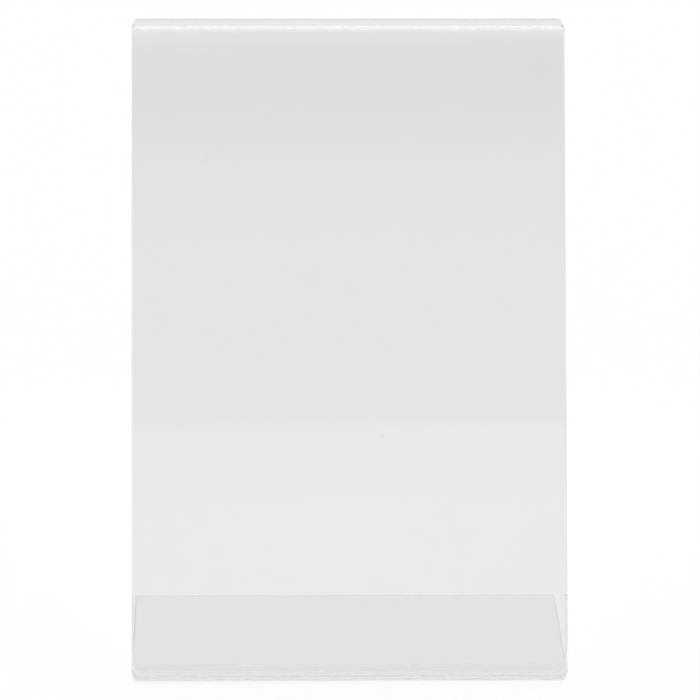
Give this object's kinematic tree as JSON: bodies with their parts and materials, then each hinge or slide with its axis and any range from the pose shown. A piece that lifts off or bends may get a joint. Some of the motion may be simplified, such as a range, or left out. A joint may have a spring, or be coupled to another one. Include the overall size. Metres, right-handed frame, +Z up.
{
  "type": "sign holder",
  "caption": "Clear acrylic slant-back table sign holder: a bent sheet with a leaning card pocket, folded over at the top, and a flat base behind it.",
  "frame": {"origin": "middle of the footprint, on the table", "axes": "+Z up; the front of the holder faces -Y and the base runs back along +Y; X across the sheet"},
  "size_m": [0.1028, 0.06, 0.1483],
  "materials": {
    "clear_acrylic": "clear cast sheet, polished faces, flame-polished edges"
  },
  "bodies": {
    "root": {"base_plate": "clear_acrylic", "front_bend": "clear_acrylic", "front_panel": "clear_acrylic", "top_fold": "clear_acrylic", "back_panel": "clear_acrylic"}
  },
  "joints": []
}
